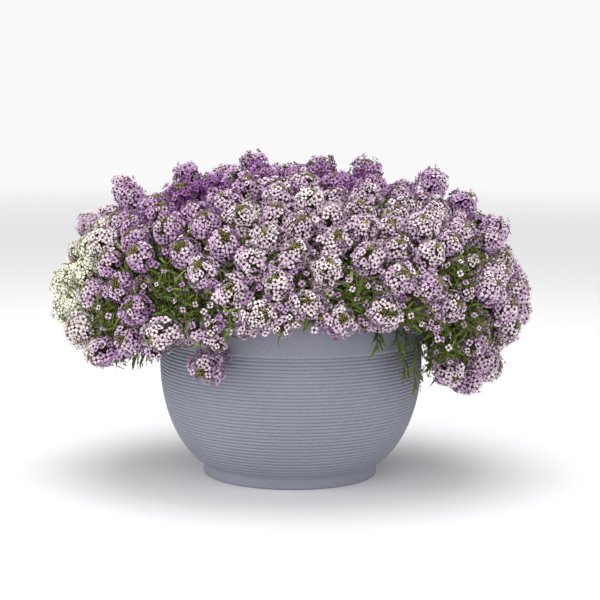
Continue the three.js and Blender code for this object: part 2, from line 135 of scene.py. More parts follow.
# Thin leafy stems that hang from the canopy's edge: points along each, from its root down.
HANGING = [
    [(104, -80, 171), (106, -96, 147), (104, -99, 126), (106, -100, 110)],
    [(112, -77, 169), (116, -92, 142), (114, -96, 118), (117, -97, 99)],
    [(122, -74, 166), (127, -88, 138), (132, -90, 116)],
    [(138, -72, 160), (138, -83, 140), (125, -88, 114)],
    [(76, -107, 170), (78, -120, 154), (79, -125, 141)],
    [(95, -90, 170), (97, -104, 151), (100, -108, 134)],
    [(-148, -46, 160), (-155, -56, 139), (-160, -61, 116)],
    [(-138, -54, 162), (-142, -67, 140), (-143, -73, 116)],
    [(-128, -60, 163), (-132, -73, 140), (-134, -79, 120)],
    [(-116, -66, 165), (-120, -80, 145), (-121, -85, 131)],
]

# ---- Rows of the colour map ----

# Every floret, leaf and stalk is laid on one row of its piece's map: along it from root to tip,
# and across it from side to side. A row stands for one shade of one finish.
COLOUR_MAP, ROWS = "OFBake", 33
PETAL_ROWS, LEAF_ROWS, BUD_ROWS = (0, 16), (16, 8), (24, 3)
EYE_ROWS, POD_ROWS, CORE_ROWS = (27, 3), (30, 2), (32, 1)

random = np.random.default_rng(41)


# ---- Where the heads are ----

def chance(index, use):
    """A repeatable number from 0 to 1 for each index and use."""
    value = math.sin(index * 12.9898 + use * 78.233) * 43758.5453
    return value - math.floor(value)


def unit(vectors):
    return vectors / np.linalg.norm(vectors, axis=-1, keepdims=True)


def gaps_to(points, others):
    """How far each point is from each of the others."""
    return np.linalg.norm(points[..., None, :] - others, axis=-1)


def clear_of(points, others, reach):
    """Whether each point is further than the reach from all the others."""
    return (gaps_to(points, others) > reach).all(axis=-1)


def shares(count):
    """Evenly spaced shares from 0 to 1, half a step in from both."""
    return (np.arange(count) + 0.5) / count


def golden_turns(count):
    return np.arange(count) * GOLDEN_TURN


def corner_angles(sides):
    return np.arange(sides) * 2 * np.pi / sides


def lowest_at(azimuth):
    """How low the heads hang on each side, eased between the twelve heights of LOWEST."""
    place = (azimuth / np.pi + 1) * 6
    start = np.floor(place).astype(int)
    ease = (1 - np.cos((place - start) * np.pi)) / 2
    here, following = LOWEST[(start + 12) % 12], LOWEST[(start + 13) % 12]
    return here + (following - here) * ease


def mound_size(y, above):
    """Half the mound's width, depth and height on the side that a point is on."""
    depth = np.where(y < 0, FRONT, BACK)
    rise = np.where(above, RISE, DROOP)
    return np.stack([np.full(np.shape(y), HALF_WIDTH), depth, rise], axis=-1)


def to_unit(points):
    return (points - MIDDLE * UP) / mound_size(points[..., 1], points[..., 2] > MIDDLE)


def from_unit(places):
    return MIDDLE * UP + places * mound_size(places[..., 1], places[..., 2] > 0)


def unit_at(azimuth, tilt):
    out = np.sin(tilt)
    return np.stack([out * np.cos(azimuth), out * np.sin(azimuth), np.cos(tilt)], axis=-1)


def on_mound(points):
    """The nearest places on the mound, no lower than its flowers go there."""
    places = unit(to_unit(points))
    azimuth = np.arctan2(places[..., 1], places[..., 0])
    low = lowest_at(azimuth)
    lowest = (low - MIDDLE) / np.where(low > MIDDLE, RISE, DROOP)
    return from_unit(unit_at(azimuth, np.arccos(np.maximum(places[..., 2], lowest))))


def outward_at(points):
    return unit(to_unit(points) / mound_size(points[..., 1], points[..., 2] > MIDDLE))


def mound_places(share):
    """Golden-angle places over the mound, with the same surface for each."""
    width = (HALF_WIDTH * 2 + FRONT + BACK) / 4
    places, covered, tilt, step = [], 0.0, 0.0, math.pi / 720
    while tilt < 0.75 * math.pi:
        rise = RISE if math.cos(tilt) > 0 else DROOP
        slope = math.hypot(width * math.cos(tilt), rise * math.sin(tilt))
        crowding = 1 + 0.45 * max(math.cos(tilt), 0)
        covered += 2 * math.pi * width * math.sin(tilt) * slope * step * crowding
        while covered > (len(places) + 0.5) * share:
            places.append(from_unit(unit_at(len(places) * GOLDEN_TURN - math.pi, tilt)))
        tilt += step
    places = np.array(places)
    measured = to_unit(places)
    azimuth = np.arctan2(measured[:, 1], measured[:, 0])
    return places[places[:, 2] > lowest_at(azimuth) - 6]


def spread_out(places, fixed, spacing, rounds):
    """Pushes neighbours apart until they are about evenly spaced. The first few stay."""
    for _ in range(rounds):
        ways = places[:, None] - places[None]
        gaps = np.linalg.norm(ways, axis=-1)
        np.fill_diagonal(gaps, np.inf)
        push = np.where(gaps < spacing, 0.35 * (spacing - gaps) / gaps, 0)
        moved = on_mound(places + (push[..., None] * ways).sum(axis=1))
        moved[:fixed] = places[:fixed]
        places = moved
    return places


Head = namedtuple("Head", "index at axis stretch radius meeting bare", defaults=[False])
Spray = namedtuple("Spray", "name plant heads meeting way")


def head_layout():
    """Every head's place, axis, stretch and radius."""
    leaders = on_mound(LEADERS[:, :3])
    others = mound_places(HEAD_SHARE)
    others = others[clear_of(others, leaders, 0.8 * HEAD_SPACING)]
    count = len(leaders)
    places = spread_out(np.vstack([leaders, others]), count, HEAD_SPACING, 60)
    outward = outward_at(places)
    indices = range(len(places))
    lift = np.array([UNEVENNESS * (2 * chance(i, 1) - 1) for i in indices])
    at = places + outward * lift[:, None]
    at[:count] = LEADERS[:, :3]
    axis = unit(outward + LEAN * UP)
    stretch = np.array([1 + 0.12 * chance(i, 3) for i in indices])
    stretch[:count] = LEADERS[:, 3]
    gaps = gaps_to(at, at)
    np.fill_diagonal(gaps, np.inf)
    wanted = np.array([HEAD_RADIUS + HEAD_SPREAD * (2 * chance(i, 2) - 1) for i in indices])
    radius = np.minimum(wanted, (gaps.min(axis=1) - 2 * CLEARANCE) / 2 / 1.08)
    return at, axis, stretch, radius


def groups_of(at):
    """The heads' indices in each spray: neighbours, gathered round their middles."""
    centres = np.array([at[int((i + 0.5) * len(at) / SPRAYS)] for i in range(SPRAYS)])
    for _ in range(15):
        nearest = gaps_to(at, centres).argmin(axis=1)
        centres = np.array([at[nearest == i].mean(axis=0) for i in range(SPRAYS)])
    return [np.flatnonzero(nearest == i) for i in range(SPRAYS)]


def meeting_place(centre):
    """Where a spray's stalks meet: in from its heads, clear of the bowl."""
    middle = np.array([MEETING_INWARD * centre[0], MEETING_INWARD * centre[1], MEETING_MIDDLE])
    place = centre + MEETING_DEPTH * unit(middle - centre)
    out = math.hypot(place[0], place[1])
    if place[2] < RIM_HEIGHT + MEETING_OUTSIDE and out < COLLAR_RADIUS + MEETING_OUTSIDE:
        passes_above = math.hypot(centre[0], centre[1]) < COLLAR_RADIUS + MEETING_CLOSE
        place[:2] *= (COLLAR_RADIUS + (0 if passes_above else MEETING_OUTSIDE)) / out
        place[2] = RIM_HEIGHT + MEETING_ABOVE if passes_above else place[2]
    return place


def owner_of(place):
    """The plant whose part of the canopy a place is in."""
    gaps = [math.hypot(place[0] - p.x, place[1] - p.y) - p.reach for p in PLANTS]
    return PLANTS[int(np.argmin(gaps))]


def gap_from_gone_over(points):
    """How far each point is from the nearest head that has shed its florets."""
    return gaps_to(points, GONE_OVER).min(axis=-1)


def places_of(heads):
    return np.array([head.at for head in heads]).reshape(-1, 3)


def reach_of(heads, share=1.0):
    """How far each head keeps leaves off. They grow through a head that has shed its florets."""
    full = [head.radius * head.stretch ** 0.5 * share for head in heads]
    return np.where([head.bare for head in heads], 3.0, full)


def stem_way(plant, end, axis):
    """The way of a stem from its plant's crown to a spray: up inside the rim, or over it."""
    start = np.array([plant.x * CROWN_REACH, plant.y * CROWN_REACH, SOIL_TOP + 4])
    out = math.hypot(end[0], end[1])
    if out < COLLAR_RADIUS or end[2] > RIM_HEIGHT + PASS_CLEAR:
        straight = end - 0.5 * np.linalg.norm(start - end) * axis
        return [start, ((start + end) / 2 + straight) / 2, end]
    low = RIM_HEIGHT + PASS_ABOVE
    top = max(low, low + 0.3 * (end[2] - low))
    inside = np.array([*(end[:2] / out * (COLLAR_RADIUS - PASS_INSIDE)), top])
    outside = np.array([*(end[:2] / out * (COLLAR_RADIUS + PASS_OUTSIDE)), top - 1])
    way = [p for p in (start, inside, outside) if np.linalg.norm(p - end) > PASS_SHORTEST]
    return way + [end]


def lay_sprays():
    at, axis, stretch, radius = head_layout()
    sprays, counts = [], {plant.name: 0 for plant in PLANTS}
    for members in groups_of(at):
        centre = at[members].mean(axis=0)
        meeting = meeting_place(centre)
        plant = owner_of(centre)
        counts[plant.name] += 1
        heads = []
        for i in members:
            way_out = unit(axis[i] + unit(at[i] - meeting))
            bare = gap_from_gone_over(at[i]) < GONE_OVER_REACH
            heads.append(Head(i, at[i], way_out, stretch[i], radius[i], meeting, bare))
        axis_of_spray = unit(centre - meeting)
        way = stem_way(plant, meeting - 9 * axis_of_spray, axis_of_spray)
        name = f"{plant.name}_spray_{counts[plant.name]}"
        sprays.append(Spray(name, plant, heads, meeting, way))
    return sprays


# ---- Meshes from many small shapes ----

Shape = namedtuple("Shape", "points triangles along across")


class Cluster:
    """Triangles gathered for one piece, each with its finish and its place in the colour map."""

    def __init__(self):
        self.points, self.triangles, self.marks, self.finishes = [], [], [], []
        self.count = 0

    def add(self, points, triangles, along, rows, across, finish):
        points = np.asarray(points, dtype=float).reshape(-1, 3)
        marks = np.empty((len(points), 2))
        marks[:, 0] = 0.02 + 0.96 * np.ravel(along)
        marks[:, 1] = (np.ravel(rows) + 0.08 + 0.84 * np.ravel(across)) / ROWS
        triangles = np.asarray(triangles).reshape(-1, 3)
        self.points.append(points)
        self.triangles.append(triangles + self.count)
        self.marks.append(marks)
        self.finishes += [finish] * len(triangles)
        self.count += len(points)

    def place(self, shape, centres, frames, rows, finish):
        """Copies of a shape, one for each centre, frame of three columns, and row."""
        copies, size = len(centres), len(shape.points)
        if not copies:
            return
        points = centres[:, None] + np.einsum("kij,nj->kni", frames, shape.points)
        triangles = shape.triangles[None] + (np.arange(copies) * size)[:, None, None]
        along = np.tile(shape.along, copies)
        across = np.tile(shape.across, copies)
        self.add(points, triangles, along, np.repeat(rows, size), across, finish)

    def tube(self, line, radii, sides, row, finish="green"):
        """A tapering tube along a line of points."""
        line = np.asarray(line)
        ways = unit(np.gradient(line, axis=0))
        side = np.cross(ways[0], UP if abs(ways[0][2]) < 0.9 else [1, 0, 0])
        rings, angles = [], corner_angles(sides)
        for place, way, radius in zip(line, ways, radii):
            side = unit(side - way * side.dot(way))
            over = np.cross(way, side)
            rings.append(place + radius * (np.cos(angles)[:, None] * side
                                           + np.sin(angles)[:, None] * over))
        triangles = []
        for level in range(len(line) - 1):
            for k in range(sides):
                a, b = level * sides + k, level * sides + (k + 1) % sides
                triangles += [(a, b, b + sides), (a, b + sides, a + sides)]
        along = np.repeat(np.linspace(0, 1, len(line)), sides)
        across = np.tile(np.abs(np.linspace(-1, 1, sides)), len(line))
        self.add(np.vstack(rings), triangles, along, np.full(len(along), row), across, finish)

    def stem(self, line, first, last, sides, shade):
        """A green tube that tapers evenly from its first radius to its last."""
        self.tube(line, np.linspace(first, last, len(line)), sides, rows_in(LEAF_ROWS, shade))

    def threads(self, starts, ends, half, shades):
        """Thin flat green stalks from starts to ends, all at once."""
        rows = np.broadcast_to(rows_in(LEAF_ROWS, shades), len(starts))
        turns = random.uniform(0, np.pi, len(starts))
        side = half * frames_on(unit(ends - starts), turns)[:, :, 0]
        points = np.stack([starts - side, starts + side, ends + side, ends - side], axis=1)
        pattern = np.array([(0, 1, 2), (0, 2, 3)])
        triangles = pattern[None] + (np.arange(len(starts)) * 4)[:, None, None]
        along = np.tile([0, 0, 1, 1], len(starts))
        across = np.tile([0, 1, 1, 0], len(starts))
        self.add(points, triangles, along, np.repeat(rows, 4), across, "green")

    def florets(self, plant, centres, frames, shades):
        """Florets with their eyes. The whitest have olive eyes, and the rest plum or brown ones."""
        self.place(FLORET, centres, frames, rows_in(PETAL_ROWS, shades), "petal")
        olive = np.where(shades > 0, 0.5 * random.random(len(shades)), 1.0)
        eye_size = 0.65 if plant.name == "white" else 1.0
        self.place(EYE, centres, frames * eye_size, rows_in(EYE_ROWS, olive), "eye")

    def pods(self, ends, frames):
        self.place(POD, ends, frames, rows_in(POD_ROWS, random.random(len(ends))), "pod")

    def make(self, name, finishes):
        """The piece's object, with its colour map and its finishes."""
        points = np.concatenate(self.points) * MM
        triangles = np.concatenate(self.triangles).astype(np.int32)
        marks = np.concatenate(self.marks)[triangles.ravel()]
        used = sorted(set(self.finishes), key=self.finishes.index)
        numbers = {finish: i for i, finish in enumerate(used)}
        mesh = bpy.data.meshes.new(name)
        mesh.vertices.add(len(points))
        mesh.vertices.foreach_set("co", points.astype(np.float32).ravel())
        mesh.loops.add(triangles.size)
        mesh.loops.foreach_set("vertex_index", triangles.ravel())
        mesh.polygons.add(len(triangles))
        mesh.polygons.foreach_set("loop_start", np.arange(0, triangles.size, 3, dtype=np.int32))
        which = np.array([numbers[finish] for finish in self.finishes], dtype=np.int32)
        mesh.polygons.foreach_set("material_index", which)
        colour_map = mesh.uv_layers.new(name=COLOUR_MAP)
        colour_map.uv.foreach_set("vector", marks.astype(np.float32).ravel())
        mesh.update(calc_edges=True)
        mesh.validate()
        mesh.shade_smooth()
        for finish in used:
            mesh.materials.append(finishes[finish])
        return in_scene(name, mesh)


def in_scene(name, data):
    """An object of the scene, from its mesh, light or lens."""
    made = bpy.data.objects.new(name, data)
    bpy.context.collection.objects.link(made)
    return made


def frames_on(directions, twists):
    """Frames whose third axis is each direction, turned about it by each twist."""
    aside = np.where(np.abs(directions[:, 2:3]) < 0.9, UP, np.array([1.0, 0, 0]))
    right = unit(np.cross(aside, directions))
    over = np.cross(directions, right)
    cos, sin = np.cos(twists)[:, None], np.sin(twists)[:, None]
    return np.stack([right * cos + over * sin, over * cos - right * sin, directions], axis=-1)


def frame_of(head):
    return frames_on(head.axis[None], np.zeros(1))[0]


def fan(points, along, across, closed):
    """Triangles from the first point to each two neighbours among the others."""
    last = len(points) - 1
    triangles = [(0, i, i + 1) for i in range(1, last)] + ([(0, last, 1)] if closed else [])
    return Shape(np.array(points, dtype=float), np.array(triangles),
                 np.array(along, dtype=float), np.array(across, dtype=float))


def joined(shapes):
    """Several shapes as one."""
    starts = np.cumsum([0] + [len(s.points) for s in shapes[:-1]])
    return Shape(
        np.concatenate([s.points for s in shapes]),
        np.concatenate([s.triangles + start for s, start in zip(shapes, starts)]),
        np.concatenate([s.along for s in shapes]),
        np.concatenate([s.across for s in shapes]),
    )


def turned_copy(shape, angle):
    cos, sin = math.cos(angle), math.sin(angle)
    turn = np.array([[cos, -sin, 0], [sin, cos, 0], [0, 0, 1]])
    return shape._replace(points=shape.points @ turn.T)


def spindle(sides, radius, length, widest):
    """A small pointed body along +Z, such as a bud or a pod."""
    angles = corner_angles(sides)
    ring = np.stack([radius * np.cos(angles), radius * np.sin(angles),
                     np.full(sides, widest * length)], axis=-1)
    points = np.vstack([ring, [[0, 0, 0], [0, 0, length]]])
    triangles = []
    for i in range(sides):
        j = (i + 1) % sides
        triangles += [(j, i, sides), (i, j, sides + 1)]
    along = np.array([widest] * sides + [0, 1.0])
    across = np.array([*np.abs(np.linspace(-1, 1, sides)), 0.5, 0.5])
    return Shape(points, np.array(triangles), along, across)


# ---- The small shapes ----

PETAL_ROOT, PETAL_TIP, PETAL_HALF_WIDTH, EYE_RADIUS = 0.8, 3.85, 1.75, 1.65


def petal():
    """One broad, blunt petal along +X from a narrow root, cupped, one edge over its neighbour's."""
    half = [(1.95, 1.5, 0.45), (3.25, PETAL_HALF_WIDTH, 0.85)]
    points = [(PETAL_ROOT, 0, 0.1)] + [(x, -y, z - 0.09 * y) for x, y, z in half]
    points += [(PETAL_TIP, 0, 0.75)] + [(x, y, z + 0.09 * y) for x, y, z in half[::-1]]
    along = [(x - PETAL_ROOT) / (PETAL_TIP - PETAL_ROOT) for x, _, _ in points]
    across = [(y / PETAL_HALF_WIDTH + 1) / 2 for _, y, _ in points]
    return fan(points, along, across, closed=False)


def eye():
    """The dark middle of a floret, a low five-sided cone."""
    ring = [(EYE_RADIUS * math.cos(a), EYE_RADIUS * math.sin(a), 0.35) for a in corner_angles(5)]
    return fan([(0, 0, 0.95), *ring], [1] + [0.3] * 5, [0.5, 0.2, 0.5, 0.8, 0.5, 0.2], closed=True)


FLORET = joined([turned_copy(petal(), k * math.pi / 2) for k in range(4)])
EYE = eye()
BUD = spindle(5, 0.95, 2.7, 0.55)
POD = spindle(5, 1.15, 3.2, 0.5)


def leaf_shape(sections):
    """A narrow pointed leaf along +Y, one long and two wide, folded along its rib, arched."""
    points, along, across = [(0, 0, 0)], [0], [0.5]
    for share, half in sections:
        arch = -0.22 * share * share
        for side in (-1, 0, 1):
            points.append((side * half, share, arch + 0.07 * abs(side) * half))
            along.append(share)
            across.append((side * half + 1) / 2)
    points.append((0, 1, -0.24))
    along.append(1)
    across.append(0.5)
    triangles = [(0, 2, 1), (0, 3, 2)]
    last = 3 * len(sections) - 2
    for a in range(1, last, 3):
        for k in (a, a + 1):
            triangles += [(k, k + 1, k + 4), (k, k + 4, k + 3)]
    triangles += [(last, last + 1, last + 3), (last + 1, last + 2, last + 3)]
    return Shape(np.array(points), np.array(triangles), np.array(along), np.array(across))


LEAF = leaf_shape([(0.3, 0.95), (0.68, 0.85)])
INNER_LEAF = leaf_shape([(0.5, 1.0)])


def rows_in(rows, share):
    """The row for each share from 0 to 1 of a finish's rows."""
    first, count = rows
    return first + np.clip(np.round(np.asarray(share) * (count - 1)), 0, count - 1).astype(int)


# ---- Heads ----

# Florets on a usual head's dome, how far round it from its tip the lowest sit, in radians, and
# half the width of a floret's stalk.
FLORETS_ON_DOME, LOWEST_FLORETS, FLORET_STALK = 54, 1.95, 0.36
NEIGHBOUR_REACH = 60.0
# Heads stretched more than this are tall spires, and this share of their florets trails.
TALL_STRETCH, TALL_TRAIL = 1.3, 0.5


def shade_at(plant, places, age):
    """How deep in colour florets are, from their plant, their age and the patch that they are in."""
    shade = plant.pale + (plant.deep - plant.pale) * np.clip(age, 0, 1)
    for patch in PATCHES:
        gap = np.linalg.norm(places - np.array([patch.x, patch.y, patch.z]), axis=-1)
        shade = shade + patch.change * np.exp(-(gap / patch.reach) ** 2)
    return np.clip(shade, 0, 1)


def florets_on(cluster, head, plant, count, size, opening, trail=0.0, others=()):
    """Florets all over a head from its bud cluster down, deeper in colour as they age.

    The last of them, a share given by trail, hang loosely round the stalk under the head.
    """
    share = shares(count)
    loose = np.clip((share - 1 + trail) / max(trail, 1e-6), 0, 1)
    dome = np.clip(share / (1 - trail), 0, 1)
    tip = math.cos(opening)
    polar = np.arccos(tip + (math.cos(LOWEST_FLORETS) - tip) * dome) + random.normal(0, 0.05, count)
    turn = head.index * 1.7 + golden_turns(count) + random.normal(0, 0.1, count)
    local = unit_at(turn, polar)
    uneven = 0.6 + 2.2 * trail
    lobes = 1 + uneven * (0.08 * np.sin(2 * turn + head.index) + 0.06 * np.sin(3 * turn + 4 * polar))
    lobes = lobes + random.normal(0, 0.04 + 0.14 * trail, count)
    spread = 0.95 * lobes * (1 - 0.15 * loose + random.uniform(-0.25, 0.18, count) * (loose > 0))
    surface = local * (head.radius * spread)[:, None] * np.array([1, 1, head.stretch])
    surface[:, 2] -= head.radius * (0.6 + 3 * trail) * loose
    upright = frame_of(head).T
    centres = head.at + surface @ upright
    normal = unit(local / np.array([1, 1, head.stretch]) + np.outer(loose, [0, 0, 0.5]))
    facing = unit(normal + random.normal(0, 0.2 + 0.4 * trail, (count, 3))) @ upright
    scale = size * (0.85 + 0.15 * np.clip((polar - 0.3) / 0.6, 0, 1))
    scale = scale * (1 + random.normal(0, 0.09, count))
    frames = frames_on(facing, random.uniform(0, np.pi / 2, count)) * scale[:, None, None]
    age = 0.62 * share + 0.38 * chance(head.index, 5) + random.normal(0, 0.15, count)
    shade = shade_at(plant, centres, age)
    depth = head.radius * head.stretch * (0.5 - 1.1 * share - 0.9 * loose)
    starts = head.at + head.axis * depth[:, None]
    greens = random.uniform(0.4, 0.9, count)
    keep = clear_of_bowl(centres, 3) & ((loose == 0) | (gap_from_gone_over(centres) > TRAIL_REACH))
    keep &= clear_of(centres, places_of(others), [0.8 * other.radius for other in others])
    centres, frames, starts = centres[keep], frames[keep], starts[keep]
    cluster.florets(plant, centres, frames, shade[keep])
    cluster.threads(starts, centres, FLORET_STALK, greens[keep])


def buds_on(cluster, head, count, size, opening):
    """The cluster of unopened buds at a head's tip."""
    share, upright = shares(count), frame_of(head).T
    local = unit_at(golden_turns(count), (opening + 0.1) * np.sqrt(share))
    base = local * head.radius * (0.78 + 0.08 * random.random(count) - 0.06 * share)[:, None]
    centres = head.at + (base * np.array([1, 1, head.stretch])) @ upright
    facing = unit(local + random.normal(0, 0.14, (count, 3))) @ upright
    scale = size * (0.75 + 0.35 * share) * (1 + random.normal(0, 0.08, count))
    frames = frames_on(facing, np.zeros(count)) * scale[:, None, None]
    cluster.place(BUD, centres, frames, rows_in(BUD_ROWS, random.random(count)), "bud")


def core_of(cluster, head):
    """The middle of a head, where the florets' stalks crowd together, coloured near-black as painted
    shade.
    """
    line, radii = [], []
    for share, width in ((-1.0, 0.12), (-0.6, 0.34), (0.1, 0.5), (0.6, 0.26), (0.72, 0.02)):
        line.append(head.at + head.axis * head.radius * head.stretch * share)
        radii.append(head.radius * width)
    cluster.tube(line, radii, 6, CORE_ROWS[0], "core")


def bowed(start, end, middle):
    """Points on a smooth bow from start to end, pulled towards a middle."""
    share = np.linspace(0, 1, 6)[:, None]
    return (1 - share) ** 2 * start + 2 * share * (1 - share) * middle + share ** 2 * end


def stalk_of(cluster, head):
    """A head's stalk with the seed pods that older florets have left round it."""
    foot = head.at - head.axis * head.radius * head.stretch * 0.6
    line = bowed(head.meeting, foot, foot - 0.45 * np.linalg.norm(foot - head.meeting) * head.axis)
    cluster.stem(line, 1.05, 0.75, sides=4, shade=0.35 + 0.3 * chance(head.index, 6))
    count = 9
    share = np.linspace(0.98, 0.42, count)
    steps = np.clip((share * (len(line) - 1)).astype(int), 0, len(line) - 2)
    part = (share * (len(line) - 1) - steps)[:, None]
    starts = line[steps] * (1 - part) + line[steps + 1] * part
    ways = unit(line[steps + 1] - line[steps])
    frames = frames_on(ways, golden_turns(count) + head.index)
    out = unit(frames[:, :, 0] + 0.45 * ways + random.normal(0, 0.1, (count, 3)))
    ends = starts + out * (7.5 + random.normal(0, 0.9, count))[:, None]
    cluster.threads(starts, ends, half=0.3, shades=0.65)
    size = (0.75 + 0.35 * random.random(count))[:, None, None]
    cluster.pods(ends, frames_on(out, np.zeros(count)) * size * np.array([1, 0.5, 1]))


def shed_head(cluster, head, plant):
    """A head gone over: seed pods on their thin stalks, and a few last florets."""
    count = 44
    share = shares(count) * 2 - 1
    turn = golden_turns(count) + head.index
    local = unit_at(turn, np.arccos(share)) * np.array([1, 1, head.stretch])
    share_out = random.uniform(0.65, 0.95, count)[:, None]
    ends = head.at + (local * head.radius * share_out) @ frame_of(head).T
    starts = head.at + head.axis * (head.radius * 0.8 * (share - 0.4))[:, None]
    cluster.threads(starts, ends, 0.32, random.uniform(0.3, 0.9, count))
    flat = np.array([1, 0.6, 1])
    cluster.pods(ends, frames_on(unit(ends - starts), random.uniform(0, 6, count)) * flat)
    line = head.at + head.axis * head.radius * np.linspace(-1, 0.7, 4)[:, None]
    cluster.tube(line, [1.0, 0.9, 0.7, 0.4], sides=4, row=rows_in(LEAF_ROWS, 0.5))
    florets_on(cluster, head, plant, count=9, size=0.85, opening=0.2)


def flowers_of(spray, heads):
    cluster = Cluster()
    for head in spray.heads:
        stalk_of(cluster, head)
        if head.bare:
            shed_head(cluster, head, spray.plant)
            continue
        others = [other for other in heads if other is not head
                  and np.linalg.norm(other.at - head.at) < NEIGHBOUR_REACH]
        opening = 0.12 + 0.26 * chance(head.index, 7) + (0.24 if spray.plant.name == "lilac" else 0)
        trail = TALL_TRAIL if head.stretch > TALL_STRETCH else spray.plant.trail
        size = (head.radius / HEAD_RADIUS) ** 2
        count = int(FLORETS_ON_DOME / (1 - trail) * head.stretch ** 1.1 * size)
        florets_on(cluster, head, spray.plant, count, 0.95, opening, trail, others)
        buds_on(cluster, head, int(8 + 60 * opening ** 1.4), 1.0, opening)
        core_of(cluster, head)
    return cluster


# ---- Leaves and stems ----

def side_radius(height):
    level = (BULGE_HEIGHT - np.asarray(height, dtype=float)) / BULGE_RISE
    return BULGE_RADIUS - BULGE_REACH * (1 - np.sqrt(np.clip(1 - level * level, 0, 1)))


def inner_radius(height):
    return side_radius(np.maximum(height, FOOT_HEIGHT)) - WALL


def clear_of_bowl(points, room=1.2):
    """Whether each point is outside the bowl and over its soil."""
    out = np.hypot(points[..., 0], points[..., 1])
    height = points[..., 2]
    side = np.where(height < COLLAR_FOOT, side_radius(np.clip(height, 2, COLLAR_FOOT)), COLLAR_RADIUS)
    inside = (out < inner_radius(130) - room) & (height > SOIL_TOP + 3)
    return inside | (out > side + room) | (height > RIM_HEIGHT + room)


def leaves_on(cluster, shape, roots, ways, facing, lengths, widths, shades, heads):
    """Leaves from roots along ways, where they don't run into a head or the bowl."""
    side = unit(np.cross(ways, facing))
    frames = np.stack([side, ways, np.cross(side, ways)], axis=-1)
    scale = np.stack([widths / 2, lengths, lengths], axis=-1)
    middles = roots + ways * (0.55 * lengths)[:, None]
    tips = roots + ways * lengths[:, None] - frames[:, :, 2] * (0.22 * lengths)[:, None]
    at, reach = places_of(heads), reach_of(heads, 0.86)
    keep = clear_of_bowl(middles) & clear_of_bowl(tips) & clear_of_bowl(roots)
    keep &= clear_of(middles, at, reach) & clear_of(tips, at, reach)
    rows = rows_in(LEAF_ROWS, shades)[keep]
    cluster.place(shape, roots[keep], (frames * scale[:, None])[keep], rows, "green")


def smooth_way(way, count=14):
    """A smooth line through a few points."""
    points = np.array([2 * way[0] - way[1], *way, 2 * way[-1] - way[-2]])
    line = []
    for share in np.linspace(0, len(way) - 1, count):
        i = min(int(share), len(way) - 2)
        t = share - i
        a, b, c, d = points[i:i + 4]
        line.append(0.5 * (2 * b + (c - a) * t + (2 * a - 5 * b + 4 * c - d) * t ** 2
                           + (3 * b - a - 3 * c + d) * t ** 3))
    return np.array(line)


def leafy(cluster, line, heads, spacing, start, length, spread=0.9, shape=LEAF):
    """Leaves all round a stem's line at the golden angle, from a share of it to its end."""
    steps = np.linalg.norm(np.diff(line, axis=0), axis=1)
    walked = np.concatenate([[0], np.cumsum(steps)])

    def on_line(distance):
        return np.stack([np.interp(distance, walked, line[:, k]) for k in range(3)], axis=-1)

    count = max(int(walked[-1] * (1 - start) / spacing), 1)
    distance = np.linspace(start, 1, count) * walked[-1]
    roots = on_line(distance)
    ways = unit(on_line(distance + 2) - on_line(distance - 2))
    turn = golden_turns(count) + random.uniform(0, 6)
    around = frames_on(ways, turn)[:, :, 0]
    out = unit(around * spread + ways * 0.6 + 0.25 * UP + random.normal(0, 0.15, (count, 3)))
    lengths = length * (1 + random.normal(0, 0.16, count))
    widths = 1.3 + lengths * random.uniform(0.07, 0.11, count)
    shades = np.clip(random.normal(0.5, 0.27, count), 0, 1)
    leaves_on(cluster, shape, roots, out, ways, lengths, widths, shades, heads)


def pods_on(cluster, tip, way, turn, count, length):
    """Seed pods on thin stalks round the last length of a stem."""
    starts = tip - way * np.linspace(0, length, count)[:, None]
    around = frames_on(np.tile(way, (count, 1)), turn + golden_turns(count))
    ends = starts + unit(around[:, :, 0] + 0.6 * way) * 5.5
    cluster.threads(starts, ends, half=0.28, shades=0.8)
    cluster.pods(ends, around * 0.75 * np.array([1, 0.5, 1]))


# Ranks of leafy shoots, from the canopy's surface in: the surface for each, how deep their tips
# are, their length, how many leaves they have and how long, how far they keep from heads, their
# leaves' shape, and the share with a young head or with pods. Young heads are numbered apart.
FIRST_YOUNG, YOUNG_RADIUS = 1000, 8.5
Rank = namedtuple("Rank", "share depth length leaves leaf_length room shape young seeded")
RANKS = [
    Rank(110, (-4, 9), 18, 9, 9, 0, LEAF, 0.35, 0.35),
    Rank(240, (8, 22), 24, 7, 13, 0, LEAF, 0, 0.2),
    Rank(330, (20, 36), 26, 6, 16, -2, INNER_LEAF, 0, 0),
    Rank(520, (38, 60), 28, 6, 16, -4, INNER_LEAF, 0, 0),
]


